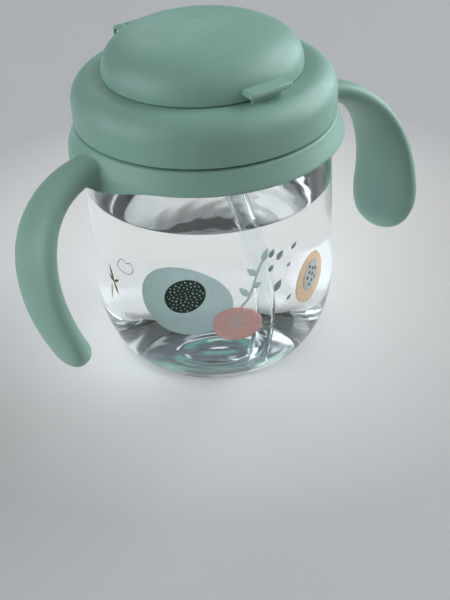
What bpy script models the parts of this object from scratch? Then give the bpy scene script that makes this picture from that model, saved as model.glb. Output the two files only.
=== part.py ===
"""Straw sippy cup: a clear cup with a two-handled ring, a quick-thread lid and a flip cover.

Millimetres in the named sizes below, metres in Blender. +Z is up, the front is -Y, and the
origin is on the table under the middle of the cup.
"""
import math

import bmesh
import bpy
from mathutils import Matrix, Vector

MM = 0.001
TURN_STEPS = 48
SMOOTH_ANGLE = math.radians(40)

# ---------------------------------------------------------------- driving sizes, mm
GAP = 0.3                    # clearance kept between touching pieces

CUP_TOP_RADIUS = 38.0        # outside, under the handle ring
CUP_BULGE_RADIUS = 38.9      # outside, where the rounded base begins
CUP_BULGE_HEIGHT = 28.9
CUP_FOOT_RADIUS = 24.1       # flat that the cup stands on
CUP_WALL = 2.2
CUP_FLOOR = 3.2
SHOULDER_HEIGHT = 77.0       # ledge that carries the handle ring
NECK_RADIUS = 34.4
RIM_HEIGHT = 90.2

THREAD_STARTS = 3
THREAD_LEAD = 9.0            # rise in one full turn
THREAD_ARC = 90.0            # degrees covered by each ridge, and the lid's turn
RIDGE_RADIUS = 1.2
RIDGE_FOOT = 85.6            # height of a ridge's low end
LUG_ARC = (4.0, 22.0)        # degrees covered by each lid lug, from its ridge's low end
LUG_RADIUS = 1.25
LUG_DROP = 2.25              # how far a lug sits under its ridge

RING_TOP = 81.5
RING_FOOT = 74.8
RING_TOP_RADIUS = 39.3
RING_FOOT_RADIUS = 41.8
RING_BORE = 35.9
RING_SKIRT_BORE = 38.6
RING_DIP = 4.0               # how far the skirt reaches down beside each handle
RING_FLARE = 1.1             # how far the skirt leans out there
RING_DIP_SPREAD = 38.0       # degrees to each side of a handle

HANDLE_SWEEP = 13.7          # degrees that a handle turns to the front on its way down
HANDLE_TWIST = (11.6, 10.5)  # degrees that the band leans, at its root and at its end
HANDLE_PATH = ((40.4, 76.2), (69.3, 74.1), (69.5, 44.2), (60.3, 25.5))
HANDLE_WIDTHS = (7.5, 8.3, 11.5, 13.9, 16.1)
HANDLE_THICKNESS = (3.2, 4.8)
HANDLE_SQUARENESS = 0.9

LID_SEAM = 0.8               # the open seam between the ring and the lid
LID_FOOT = RING_TOP + LID_SEAM
LID_RADIUS = 39.3
LID_BORE = 36.2
LID_CEILING = 92.8
DECK = 95.3
GASKET_INNER = 31.9
GASKET_OUTER = 35.7

PORT_Y = 4.0                 # the mouthpiece stands here, in the middle plane
PORT_RADIUS = 4.5
TUBE_RADIUS = 4.0
TUBE_BORE = 2.2
SOCKET_BORE = 3.3
FOLD_HEIGHT = 99.9           # the mouthpiece folds about an axis along X at this height
TIP_START = 4.7              # from the fold axis
TIP_END = 23.5
BOSS_RADII = (12.3, 14.2)
MOUTH_RADIUS = 3.8           # lip at the mouthpiece's end
FLANGE_RADIUS = 8.0
SOCKET_RADIUS = 5.1
SOCKET_FOOT = 82.5
STRAW_RADIUS = 3.0
STRAW_WALL = 0.9
STRAW_ROUTE = (
    (0.0, 4.0, 89.7), (0.0, 4.0, 85.5), (0.0, 4.0, 81.5), (-1.3, -1.2, 76.0), (-3.5, -11.5, 70.6),
    (-5.8, -21.8, 65.6), (-7.6, -29.3, 59.6), (-7.2, -31.6, 52.5), (-5.4, -31.9, 44.0),
    (-4.2, -31.4, 34.0), (-3.4, -29.2, 24.0), (-2.8, -25.4, 14.0), (-2.4, -22.0, 6.4),
)

VENT_X = 16.0
VENT_Y = -10.0
VENT_BORE = 1.6

COVER_RADIUS = 29.5
COVER_FOOT = DECK + 0.4
COVER_TOP = 108.3
COVER_WALL = 1.8
COVER_ROUNDNESS = 2.6
HINGE_Y = 32.3
HINGE_Z = 98.4
KNUCKLE_RADIUS = 2.5
KNUCKLE_HALF = 5.9
EAR_INNER = 6.2
EAR_OUTER = 9.6
PIN_RADIUS = 1.1
PIN_BORE = 1.4


# ---------------------------------------------------------------- scene and materials
def clear_scene():
    for old in list(bpy.data.objects):
        bpy.data.objects.remove(old)


def collection(name):
    made = bpy.data.collections.new(name)
    bpy.context.scene.collection.children.link(made)
    return made


def material(name, color, roughness, transmission=0.0, ior=1.5, metallic=0.0):
    made = bpy.data.materials.new(name)
    made.use_nodes = True
    shader = made.node_tree.nodes["Principled BSDF"]
    shader.inputs["Base Color"].default_value = (*color, 1.0)
    shader.inputs["Roughness"].default_value = roughness
    shader.inputs["Metallic"].default_value = metallic
    shader.inputs["Transmission Weight"].default_value = transmission
    shader.inputs["IOR"].default_value = ior
    made.diffuse_color = (*color, 1.0)
    return made


clear_scene()
PARTS = collection("sippy_cup")
CUTTERS = collection("cutters")


def new_object(name, mesh, place=PARTS):
    made = bpy.data.objects.new(name, mesh)
    place.objects.link(made)
    return made


def guide(piece):
    """Hide a piece that only shapes another one."""
    for old in list(piece.users_collection):
        old.objects.unlink(piece)
    CUTTERS.objects.link(piece)
    piece.hide_render = True
    piece.display_type = "WIRE"
    return piece


def finish(piece, finish_material):
    piece.data.materials.clear()
    piece.data.materials.append(finish_material)
    piece.data.shade_smooth()
    piece.data.set_sharp_from_angle(angle=SMOOTH_ANGLE)
    return piece


def join(piece, other, operation="UNION"):
    boolean = piece.modifiers.new(operation.lower(), "BOOLEAN")
    boolean.operation = operation
    boolean.solver = "EXACT"
    boolean.object = guide(other)
    return piece


def bake(piece):
    """Replace a piece's mesh by what its modifiers make of it."""
    bpy.context.view_layer.update()
    graph = bpy.context.evaluated_depsgraph_get()
    mesh = bpy.data.meshes.new_from_object(piece.evaluated_get(graph))
    piece.modifiers.clear()
    piece.data = mesh
    return piece


# ---------------------------------------------------------------- shapes
def turned(name, profile, closed=True, steps=TURN_STEPS):
    """A profile of (radius, height) in mm, turned about Z; it runs down its outer side."""
    count = len(profile)
    edges = [(i, i + 1) for i in range(count - 1)]
    if closed:
        edges.append((count - 1, 0))
    mesh = bpy.data.meshes.new(name)
    mesh.from_pydata([(r * MM, 0.0, z * MM) for r, z in profile], edges, [])
    piece = new_object(name, mesh)
    screw = piece.modifiers.new("turn", "SCREW")
    screw.steps = steps
    screw.render_steps = steps
    screw.use_merge_vertices = True
    screw.merge_threshold = 0.00001
    screw.use_smooth_shade = True
    return piece


def ring_profile(inner, outer, low, high):
    return [(outer, high), (outer, low), (inner, low), (inner, high)]


def block(name, low, high, bevel=0.0):
    """A box between two corners in mm, with rounded edges."""
    mesh = bpy.data.meshes.new(name)
    shape = bmesh.new()
    bmesh.ops.create_cube(shape, size=1.0)
    size = [(b - a) * MM for a, b in zip(low, high)]
    middle = [(a + b) * 0.5 * MM for a, b in zip(low, high)]
    bmesh.ops.scale(shape, vec=size, verts=shape.verts)
    bmesh.ops.translate(shape, vec=middle, verts=shape.verts)
    shape.to_mesh(mesh)
    shape.free()
    piece = new_object(name, mesh)
    if bevel:
        round_edges = piece.modifiers.new("round", "BEVEL")
        round_edges.width = bevel * MM
        round_edges.segments = 2
        bake(piece)
    return piece


def rod(name, start, end, radius, sides=24):
    """A cylinder between two points in mm."""
    start = Vector(start) * MM
    end = Vector(end) * MM
    axis = end - start
    mesh = bpy.data.meshes.new(name)
    shape = bmesh.new()
    bmesh.ops.create_cone(shape, cap_ends=True, segments=sides, radius1=radius * MM,
                          radius2=radius * MM, depth=axis.length)
    turn = Vector((0, 0, 1)).rotation_difference(axis).to_matrix().to_4x4()
    bmesh.ops.transform(shape, matrix=Matrix.Translation((start + end) / 2) @ turn, verts=shape.verts)
    shape.to_mesh(mesh)
    shape.free()
    return new_object(name, mesh)


def smooth_route(points, per_span):
    """Points along a smooth curve through the given ones."""
    ends = [points[0], *points, points[-1]]
    made = []
    for i in range(1, len(ends) - 2):
        a, b, c, d = (Vector(p) for p in ends[i - 1:i + 3])
        for k in range(per_span):
            t = k / per_span
            made.append(0.5 * (2 * b + (c - a) * t + (2 * a - 5 * b + 4 * c - d) * t * t
                               + (3 * b - a - 3 * c + d) * t ** 3))
    made.append(Vector(points[-1]))
    return made


def wire(name, points, radius, caps=True, resolution=2):
    """A round bar or an open tube along points in mm, as a mesh."""
    data = bpy.data.curves.new(name, "CURVE")
    data.dimensions = "3D"
    data.bevel_depth = radius * MM
    data.bevel_resolution = resolution
    data.use_fill_caps = caps
    spline = data.splines.new("POLY")
    spline.points.add(len(points) - 1)
    for spot, point in zip(spline.points, points):
        spot.co = (*(Vector(point) * MM), 1.0)
    curve = new_object(name + "_curve", data)
    graph = bpy.context.evaluated_depsgraph_get()
    mesh = bpy.data.meshes.new_from_object(curve.evaluated_get(graph))
    bpy.data.objects.remove(curve)
    shape = bmesh.new()
    shape.from_mesh(mesh)
    bmesh.ops.remove_doubles(shape, verts=shape.verts, dist=1e-7)
    if caps:
        bmesh.ops.recalc_face_normals(shape, faces=shape.faces)
    shape.to_mesh(mesh)
    shape.free()
    return new_object(name, mesh)


def arc_points(centre, radii, start, end, count):
    """Points of an elliptical arc of (radius, height) from one angle to another, in degrees."""
    made = []
    for i in range(count):
        angle = math.radians(start + (end - start) * i / (count - 1))
        made.append((centre[0] + radii[0] * math.cos(angle), centre[1] + radii[1] * math.sin(angle)))
    return made


# ---------------------------------------------------------------- cup
def helix(radius, first, last, foot, count=14):
    """Points of one thread start, from angle first to angle last in degrees."""
    made = []
    for i in range(count):
        angle = first + (last - first) * i / (count - 1)
        turn = math.radians(angle)
        rise = THREAD_LEAD * angle / 360.0
        made.append((radius * math.cos(turn), radius * math.sin(turn), foot + rise))
    return made


def turned_about_z(piece, degrees):
    piece.data.transform(Matrix.Rotation(math.radians(degrees), 4, "Z"))
    return piece


def cup_body(finish_material):
    bulge = (CUP_FOOT_RADIUS, CUP_BULGE_HEIGHT)
    outer_reach = (CUP_BULGE_RADIUS - CUP_FOOT_RADIUS, CUP_BULGE_HEIGHT)
    inner_reach = (outer_reach[0] - CUP_WALL, CUP_BULGE_HEIGHT - CUP_FLOOR)
    neck_bore = NECK_RADIUS - CUP_WALL
    profile = [(NECK_RADIUS - 0.4, RIM_HEIGHT), (NECK_RADIUS, RIM_HEIGHT - 0.4)]
    profile += [(NECK_RADIUS, SHOULDER_HEIGHT + 0.5), (NECK_RADIUS + 0.5, SHOULDER_HEIGHT)]
    profile += [(CUP_TOP_RADIUS - 1.0, SHOULDER_HEIGHT), (CUP_TOP_RADIUS - 0.3, SHOULDER_HEIGHT - 0.3)]
    profile += [(CUP_TOP_RADIUS, SHOULDER_HEIGHT - 1.0), (CUP_TOP_RADIUS, 66.0)]
    profile += arc_points(bulge, outer_reach, 0, -90, 10)
    profile += [(17.0, 0.0), (16.0, 0.8), (0.0, 0.8), (0.0, CUP_FLOOR)]
    profile += arc_points(bulge, inner_reach, -90, 0, 10)
    profile += [(CUP_TOP_RADIUS - CUP_WALL, 66.0), (CUP_TOP_RADIUS - CUP_WALL, 73.5)]
    profile += [(neck_bore, 77.8), (neck_bore, RIM_HEIGHT - 0.4), (neck_bore + 0.4, RIM_HEIGHT)]
    body = turned("cup_body", profile)
    for k in range(THREAD_STARTS):
        ridge = wire("cup_ridge", helix(NECK_RADIUS + 0.1, 0.0, THREAD_ARC, RIDGE_FOOT), RIDGE_RADIUS)
        join(body, turned_about_z(ridge, k * 360.0 / THREAD_STARTS))
    return finish(bake(body), finish_material)


# ---------------------------------------------------------------- handle ring
def beside_handle(angle):
    """1 at a handle's middle and 0 away from it, for an angle about Z."""
    around = abs(math.degrees(angle)) % 180.0
    away = min(around, 180.0 - around)
    if away >= RING_DIP_SPREAD:
        return 0.0
    return math.cos(math.radians(90.0 * away / RING_DIP_SPREAD)) ** 2


def ring_band():
    """The ring that the handles grow from: a short flange with a skirt that flares outwards."""
    top, foot = RING_TOP, RING_FOOT
    ledge = SHOULDER_HEIGHT + GAP
    profile = [(RING_TOP_RADIUS - 0.4, top), (RING_TOP_RADIUS, top - 0.4), (39.9, 79.4), (40.9, 77.0)]
    profile += [(RING_FOOT_RADIUS, foot + 0.5), (RING_FOOT_RADIUS - 0.3, foot)]
    profile += [(RING_SKIRT_BORE + 0.5, foot), (RING_SKIRT_BORE, foot + 0.5)]
    profile += [(RING_SKIRT_BORE, ledge), (RING_BORE, ledge), (RING_BORE, top)]
    band = turned("handle_ring", profile, steps=72)
    bake(band)
    for vertex in band.data.vertices:
        spot = vertex.co
        share = beside_handle(math.atan2(spot.y, spot.x))
        drop = min(max((top * MM - spot.z) / ((top - foot) * MM), 0.0), 1.0)
        radius = math.hypot(spot.x, spot.y)
        if radius > RING_TOP_RADIUS * MM:
            grown = (radius + RING_FLARE * share * drop * MM) / radius
            spot.x *= grown
            spot.y *= grown
        if spot.z < (foot + 0.6) * MM:
            spot.z -= RING_DIP * share * MM
    return band


def bezier(points, t):
    a, b, c, d = points
    u = 1.0 - t
    return tuple(u ** 3 * a[i] + 3 * u * u * t * b[i] + 3 * u * t * t * c[i] + t ** 3 * d[i] for i in (0, 1))


def rounded_off(distance, reach):
    """From 0 at the very end of a band to 1 at its full size."""
    part = min(max(distance / reach, 0.0), 1.0)
    return math.sqrt(max(1.0 - (1.0 - part) ** 2, 0.0))


def size_along(sizes, s):
    """A smooth curve through evenly spaced sizes, at a share s of the band's length."""
    last = len(sizes) - 1
    i = min(int(s * last), last - 1)
    t = s * last - i
    a, b, c, d = sizes[max(i - 1, 0)], sizes[i], sizes[i + 1], sizes[min(i + 2, last)]
    return b + 0.5 * t * (c - a + t * (2 * a - 5 * b + 4 * c - d + t * (3 * b - a - 3 * c + d)))


def handle_sections(count=22, sides=16):
    """Rings of points along the left handle, from its root to its rounded end."""
    fine = 200
    flat = [bezier(HANDLE_PATH, i / fine) for i in range(fine + 1)]
    run = [0.0]
    for a, b in zip(flat, flat[1:]):
        run.append(run[-1] + math.dist(a, b))
    length = run[-1]

    def centre(s):
        wanted = s * length
        i = max(k for k in range(fine) if run[k] <= wanted)
        t = (wanted - run[i]) / (run[i + 1] - run[i])
        r = flat[i][0] + (flat[i + 1][0] - flat[i][0]) * t
        z = flat[i][1] + (flat[i + 1][1] - flat[i][1]) * t
        turn = math.radians(180.0 + HANDLE_SWEEP * s)
        return Vector((r * math.cos(turn), r * math.sin(turn), z))

    rings = []
    for k in range(count):
        s = 1.0 - (1.0 - k / (count - 1)) ** 1.35
        s = min(s, 0.9995)
        here = centre(s)
        along = (centre(min(s + 0.01, 1.0)) - centre(max(s - 0.01, 0.0))).normalized()
        turn = math.radians(180.0 + HANDLE_SWEEP * s)
        across = Vector((-math.sin(turn), math.cos(turn), 0.0))
        across = (across - along * across.dot(along)).normalized()
        out = across.cross(along)
        lean = math.radians(-(HANDLE_TWIST[0] + (HANDLE_TWIST[1] - HANDLE_TWIST[0]) * s))
        across, out = (across * math.cos(lean) + out * math.sin(lean),
                       out * math.cos(lean) - across * math.sin(lean))
        left = (1.0 - s) * length
        width = size_along(HANDLE_WIDTHS, s) * rounded_off(left, HANDLE_WIDTHS[-1])
        thick = HANDLE_THICKNESS[0] + (HANDLE_THICKNESS[1] - HANDLE_THICKNESS[0]) * s
        thick *= rounded_off(left, HANDLE_THICKNESS[1])
        ring = []
        for j in range(sides):
            angle = 2 * math.pi * j / sides
            cx = math.copysign(abs(math.cos(angle)) ** HANDLE_SQUARENESS, math.cos(angle))
            cy = math.copysign(abs(math.sin(angle)) ** HANDLE_SQUARENESS, math.sin(angle))
            ring.append(here + across * (width * cx) + out * (thick * cy))
        rings.append(ring)
    return rings


def loft(name, rings, mirror=False):
    """A closed skin over rings of points in mm."""
    shape = bmesh.new()
    side = -1.0 if mirror else 1.0
    rows = [[shape.verts.new((p.x * side * MM, p.y * MM, p.z * MM)) for p in ring] for ring in rings]
    count = len(rows[0])
    for a, b in zip(rows, rows[1:]):
        for j in range(count):
            shape.faces.new((a[j], a[(j + 1) % count], b[(j + 1) % count], b[j]))
    shape.faces.new(rows[0])
    shape.faces.new(rows[-1])
    bmesh.ops.recalc_face_normals(shape, faces=shape.faces)
    mesh = bpy.data.meshes.new(name)
    shape.to_mesh(mesh)
    shape.free()
    return new_object(name, mesh)


def handle_ring(finish_material):
    band = ring_band()
    rings = handle_sections()
    join(band, loft("left_handle", rings))
    join(band, loft("right_handle", rings, mirror=True))
    return finish(bake(band), finish_material)


# ---------------------------------------------------------------- lid
def lid_cap(finish_material):
    profile = [(0.0, DECK), (30.5, DECK)]
    profile += arc_points((32.0, 88.3), (7.1, 6.9), 80, 8, 7)
    profile += [(LID_RADIUS, LID_FOOT + 0.4), (LID_RADIUS - 0.4, LID_FOOT)]
    profile += [(LID_BORE, LID_FOOT), (LID_BORE, LID_CEILING)]
    profile += [(GASKET_INNER - GAP, LID_CEILING), (GASKET_INNER - GAP, 90.6)]
    profile += [(GASKET_INNER - 1.9, 90.6), (GASKET_INNER - 1.9, LID_CEILING), (0.0, LID_CEILING)]
    cap = turned("lid_cap", profile, closed=False)
    boss = turned("port_boss", ring_profile(*BOSS_RADII, 87.8, LID_CEILING + 1.0), steps=32)
    boss.location.y = PORT_Y * MM
    join(cap, boss)
    for side in (-1, 1):
        inner, outer = sorted((side * EAR_INNER, side * EAR_OUTER))
        ear = block("ear", (inner, HINGE_Y - 2.4, 93.6), (outer, HINGE_Y + 2.4, HINGE_Z))
        join(cap, ear)
        eye = rod("ear_eye", (inner, HINGE_Y, HINGE_Z), (outer, HINGE_Y, HINGE_Z), KNUCKLE_RADIUS)
        join(cap, eye)
    join(cap, block("catch", (-5.0, -31.0, 94.4), (5.0, -30.0, 97.1)))
    for k in range(THREAD_STARTS):
        lug = wire("lid_lug", helix(LID_BORE - 0.1, *LUG_ARC, RIDGE_FOOT - LUG_DROP, 5), LUG_RADIUS)
        join(cap, turned_about_z(lug, k * 360.0 / THREAD_STARTS))
    port = rod("port_cut", (0, PORT_Y, 90.0), (0, PORT_Y, 98.0), PORT_RADIUS)
    join(cap, port, "DIFFERENCE")
    vent = rod("vent_cut", (VENT_X, VENT_Y, 90.0), (VENT_X, VENT_Y, 98.0), VENT_BORE, 16)
    join(cap, vent, "DIFFERENCE")
    pin = rod("pin_cut", (-12, HINGE_Y, HINGE_Z), (12, HINGE_Y, HINGE_Z), PIN_BORE)
    join(cap, pin, "DIFFERENCE")
    return finish(bake(cap), finish_material)


def lid_gasket(finish_material):
    low = RIM_HEIGHT + GAP
    high = LID_CEILING - GAP
    profile = [(GASKET_OUTER - 0.5, high), (GASKET_OUTER, high - 0.5), (GASKET_OUTER, low + 0.5)]
    profile += [(GASKET_OUTER - 0.5, low), (GASKET_INNER + 0.5, low), (GASKET_INNER, low + 0.5)]
    profile += [(GASKET_INNER, high - 0.5), (GASKET_INNER + 0.5, high)]
    return finish(turned("lid_gasket", profile), finish_material)


def hinge_pin(finish_material):
    reach = EAR_OUTER - 0.2
    pin = rod("hinge_pin", (-reach, 0, 0), (reach, 0, 0), PIN_RADIUS)
    pin.location = (0.0, HINGE_Y * MM, HINGE_Z * MM)
    return finish(pin, finish_material)


def vent_valve(finish_material):
    under = LID_CEILING - GAP
    over = DECK + GAP
    profile = [(0.0, over + 1.3), (1.2, over + 1.1), (2.1, over + 0.4), (2.1, over), (1.3, over)]
    profile += [(1.3, under), (3.4, under), (3.6, under - 0.3), (2.2, under - 1.0), (0.0, under - 1.1)]
    valve = turned("vent_valve", profile, closed=False, steps=20)
    valve.location = (VENT_X * MM, VENT_Y * MM, 0.0)
    return finish(valve, finish_material)


# ---------------------------------------------------------------- mouthpiece and straw
def mouthpiece(finish_material):
    neck = TUBE_RADIUS + 0.2
    over, under = LID_CEILING - GAP, LID_CEILING - 2.3
    profile = [(neck - 0.3, 96.0), (neck, 95.7), (neck, over)]
    profile += [(FLANGE_RADIUS, over), (FLANGE_RADIUS, under), (SOCKET_RADIUS, under)]
    profile += [(SOCKET_RADIUS, SOCKET_FOOT + 0.5), (SOCKET_RADIUS - 0.5, SOCKET_FOOT)]
    profile += [(SOCKET_BORE, SOCKET_FOOT), (SOCKET_BORE, 90.0), (TUBE_BORE, 90.2), (TUBE_BORE, 96.0)]
    piece = turned("mouthpiece", profile, steps=24)
    piece.location.y = PORT_Y * MM
    return finish(piece, finish_material)


def mouthpiece_tip(finish_material):
    """The upper end of the silicone mouthpiece, folded flat to the front under the cover."""
    start, end, radius = TIP_START, TIP_END, TUBE_RADIUS
    lip = MOUTH_RADIUS
    profile = [(2.6, end), (lip - 0.4, end - 0.2), (lip, end - 0.8), (lip, end - 1.8), (3.45, end - 2.6)]
    profile += [(3.5, end - 6.0), (radius, start + 4.0), (radius, start)]
    profile += [(TUBE_BORE, start), (TUBE_BORE, end)]
    tip = turned("mouthpiece_tip", profile, steps=24)
    tip.location = (0.0, PORT_Y * MM, FOLD_HEIGHT * MM)
    tip.rotation_euler.x = math.radians(90.0)
    return finish(tip, finish_material)


def mouthpiece_retainer(finish_material):
    profile = [(12.0, 90.2), (12.0, 87.4), (14.0, 87.4), (14.0, 85.9), (13.7, 85.6)]
    profile += [(5.7, 85.6), (5.4, 85.9), (5.4, 90.2)]
    piece = turned("mouthpiece_retainer", profile, steps=32)
    piece.location.y = PORT_Y * MM
    for side in (-1, 1):
        low_x, high_x = sorted((side * 8.2, side * 10.0))
        wing = block("wing", (low_x, PORT_Y - 4.0, 82.6), (high_x, PORT_Y + 4.0, 86.2))
        join(piece, wing)
    return finish(bake(piece), finish_material)


def straw_tube(finish_material):
    straw = wire("straw_tube", smooth_route(STRAW_ROUTE, 4), STRAW_RADIUS, caps=False, resolution=2)
    wall = straw.modifiers.new("wall", "SOLIDIFY")
    wall.thickness = STRAW_WALL * MM
    wall.offset = -1.0
    return finish(straw, finish_material)


# ---------------------------------------------------------------- cover
def dome(radius, height, foot, count):
    """A domed outline of (radius, height), from its foot to its top."""
    power = COVER_ROUNDNESS
    made = []
    for i in range(count):
        angle = math.radians(90.0 * i / (count - 1))
        made.append((radius * max(math.cos(angle), 0.0) ** (2 / power),
                     foot + height * math.sin(angle) ** (2 / power)))
    return made


def flip_cover(finish_material):
    outer = dome(COVER_RADIUS, COVER_TOP - COVER_FOOT, COVER_FOOT, 12)
    inner = dome(COVER_RADIUS - COVER_WALL, COVER_TOP - COVER_WALL - COVER_FOOT, COVER_FOOT, 12)
    cover = turned("flip_cover", list(reversed(outer)) + inner, closed=False)
    eye = rod("cover_eye", (-KNUCKLE_HALF, HINGE_Y, HINGE_Z), (KNUCKLE_HALF, HINGE_Y, HINGE_Z), KNUCKLE_RADIUS)
    arm = block("cover_arm", (-KNUCKLE_HALF, 28.4, 96.3), (KNUCKLE_HALF, HINGE_Y, 99.9))
    join(cover, arm)
    join(cover, eye)
    tab = block("cover_tab", (-7.0, -33.6, 97.5), (7.0, -28.4, 99.4), bevel=0.7)
    join(cover, tab)
    pin = rod("cover_pin_cut", (-12, HINGE_Y, HINGE_Z), (12, HINGE_Y, HINGE_Z), PIN_BORE)
    join(cover, pin, "DIFFERENCE")
    bake(cover)
    cover.data.transform(Matrix.Translation((0.0, -HINGE_Y * MM, -HINGE_Z * MM)))
    cover.location = (0.0, HINGE_Y * MM, HINGE_Z * MM)
    return finish(cover, finish_material)


# ---------------------------------------------------------------- build
clear = material("clear_copolyester", (0.93, 0.96, 0.96), 0.03, transmission=1.0, ior=1.54)
ring_green = material("sage_ring", (0.22, 0.38, 0.30), 0.45)
lid_green = material("sage_lid", (0.20, 0.36, 0.28), 0.42)
silicone = material("clear_silicone", (0.85, 0.88, 0.88), 0.35, transmission=0.6, ior=1.41)
seal_white = material("white_silicone", (0.80, 0.82, 0.81), 0.5)
steel = material("stainless", (0.60, 0.60, 0.60), 0.25, metallic=1.0)

cup_body(clear)
handle_ring(ring_green)
lid_cap(lid_green)
lid_gasket(seal_white)
mouthpiece(silicone)
mouthpiece_tip(silicone)
mouthpiece_retainer(seal_white)
straw_tube(silicone)
vent_valve(seal_white)
flip_cover(lid_green)
hinge_pin(steel)
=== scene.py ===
"""The straw sippy cup's looks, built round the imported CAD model.

Named sizes are in millimetres, in the CAD model's frame; meshes are in metres.
"""
import math
import random

import bmesh
import bpy
import numpy as np
from mathutils import Matrix, Vector


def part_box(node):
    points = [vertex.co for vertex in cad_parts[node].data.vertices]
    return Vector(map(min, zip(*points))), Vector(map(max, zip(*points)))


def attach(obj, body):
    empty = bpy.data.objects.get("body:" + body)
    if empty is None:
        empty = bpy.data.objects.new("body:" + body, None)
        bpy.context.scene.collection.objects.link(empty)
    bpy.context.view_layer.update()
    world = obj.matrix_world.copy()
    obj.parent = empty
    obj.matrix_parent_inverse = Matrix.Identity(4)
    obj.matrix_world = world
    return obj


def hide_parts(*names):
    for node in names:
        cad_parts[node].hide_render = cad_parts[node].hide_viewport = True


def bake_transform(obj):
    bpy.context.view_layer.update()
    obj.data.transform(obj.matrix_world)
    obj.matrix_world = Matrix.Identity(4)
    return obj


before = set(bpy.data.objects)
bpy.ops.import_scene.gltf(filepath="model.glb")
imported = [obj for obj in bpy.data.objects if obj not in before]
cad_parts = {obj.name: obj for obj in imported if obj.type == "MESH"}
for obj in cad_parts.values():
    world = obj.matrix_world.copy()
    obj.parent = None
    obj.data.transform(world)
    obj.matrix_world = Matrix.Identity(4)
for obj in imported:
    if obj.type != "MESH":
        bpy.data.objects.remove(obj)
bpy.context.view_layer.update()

MM = 0.001
FINE = 192                   # steps round a large turned piece


# ---------------------------------------------------------------- sizes that pieces share, mm
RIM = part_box("cup_body")[1].z / MM
BULGE_RADIUS = 38.9          # the bowl at its widest
BULGE_HEIGHT = 28.9
TOP_RADIUS = 38.0            # the straight side, from TAPER_END up to the shoulder
TAPER_END = 66.0
FOOT_RADIUS = 24.1           # where the bowl's curve meets the base
WALL = 2.2
FLOOR = 3.2                  # thickness of the base at its edge
SHOULDER = 77.0
NECK = 34.4
NECK_BORE = NECK - WALL
THREAD_STARTS = 3
THREAD_LEAD = 9.0            # rise in a full turn
THREAD_FOOT = 85.6           # height of a ridge's middle at its start
THREAD_ARC = 90.0            # degrees that each ridge runs round the neck
THREAD_SIZE = 1.25           # how far a ridge or a lug stands out
WATER_LEVEL = 60.2

HINGE_Y = 32.3
HINGE_Z = 98.4
EYE_RADIUS = 2.5             # the round ends of the hinge's ears and arm
PIN_HOLE = 1.4
PORT_Y = 4.0
VENT = (16.0, -10.0)
FOLD_Z = 99.9                # height of the mouthpiece where it lies folded


# ---------------------------------------------------------------- mesh helpers
def link(name, mesh):
    made = bpy.data.objects.new(name, mesh)
    bpy.context.scene.collection.objects.link(made)
    return made


def from_rows(name, rows, closed_profile=False, caps=False):
    """A skin over rows of points; each row is a closed ring of the same count, or a single pole."""
    verts = []
    index = []
    for row in rows:
        index.append(range(len(verts), len(verts) + len(row)))
        verts.extend(row)
    faces = []
    pairs = list(zip(index, index[1:]))
    if closed_profile:
        pairs.append((index[-1], index[0]))
    for a, b in pairs:
        count = max(len(a), len(b))
        for j in range(count):
            k = (j + 1) % count
            if len(a) == 1:
                faces.append((a[0], b[k], b[j]))
            elif len(b) == 1:
                faces.append((a[j], a[k], b[0]))
            else:
                faces.append((a[j], a[k], b[k], b[j]))
    if caps:
        faces.append(tuple(reversed(index[0])))
        faces.append(tuple(index[-1]))
    mesh = bpy.data.meshes.new(name)
    mesh.from_pydata([tuple(c * MM for c in p) for p in verts], [], faces)
    shape = bmesh.new()
    shape.from_mesh(mesh)
    bmesh.ops.recalc_face_normals(shape, faces=shape.faces)
    shape.to_mesh(mesh)
    shape.free()
    mesh.shade_smooth()
    return link(name, mesh)


def lathe(name, profile, steps=FINE, closed=True, centre=(0.0, 0.0), swell=None):
    """A profile of (radius, height) turned about Z; swell may move a point by its angle."""
    rows = []
    for r, z in profile:
        if r < 1e-6:
            rows.append([(centre[0], centre[1], z)])
            continue
        row = []
        for j in range(steps):
            angle = 2 * math.pi * j / steps
            rr, zz = swell(angle, r, z) if swell else (r, z)
            row.append((centre[0] + rr * math.cos(angle), centre[1] + rr * math.sin(angle), zz))
        rows.append(row)
    return from_rows(name, rows, closed_profile=closed)


def arc(centre, radii, start, end, count):
    made = []
    for i in range(count):
        angle = math.radians(start + (end - start) * i / (count - 1))
        made.append((centre[0] + radii[0] * math.cos(angle), centre[1] + radii[1] * math.sin(angle)))
    return made


def line(a, b, count):
    return [(a[0] + (b[0] - a[0]) * i / (count - 1), a[1] + (b[1] - a[1]) * i / (count - 1))
            for i in range(count)]


def softened(profile, radius, count=4, closed=True):
    """The profile with each corner rounded by about that radius."""
    made = []
    total = len(profile)
    for i, point in enumerate(profile):
        here = Vector(point)
        if not closed and i in (0, total - 1):
            made.append(point)
            continue
        before = Vector(profile[i - 1])
        after = Vector(profile[(i + 1) % total])
        cut = min(radius, (here - before).length * 0.45, (after - here).length * 0.45)
        a = here + (before - here).normalized() * cut
        b = here + (after - here).normalized() * cut
        for k in range(count + 1):
            t = k / count
            spot = a * (1 - t) ** 2 + here * 2 * t * (1 - t) + b * t * t
            made.append((spot.x, spot.y))
    return made


def catmull(points, per_span, closed=False):
    """Points along a smooth curve through the given ones, in two or three dimensions."""
    count = len(points)
    made = []
    spans = count if closed else count - 1
    for i in range(spans):
        if closed:
            a, b, c, d = (Vector(points[(i + k) % count]) for k in (-1, 0, 1, 2))
        else:
            a, b, c, d = (Vector(points[min(max(i + k, 0), count - 1)]) for k in (-1, 0, 1, 2))
        for k in range(per_span):
            t = k / per_span
            made.append(0.5 * (2 * b + (c - a) * t + (2 * a - 5 * b + 4 * c - d) * t * t
                               + (3 * b - a - 3 * c + d) * t ** 3))
    if not closed:
        made.append(Vector(points[-1]))
    return made


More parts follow.
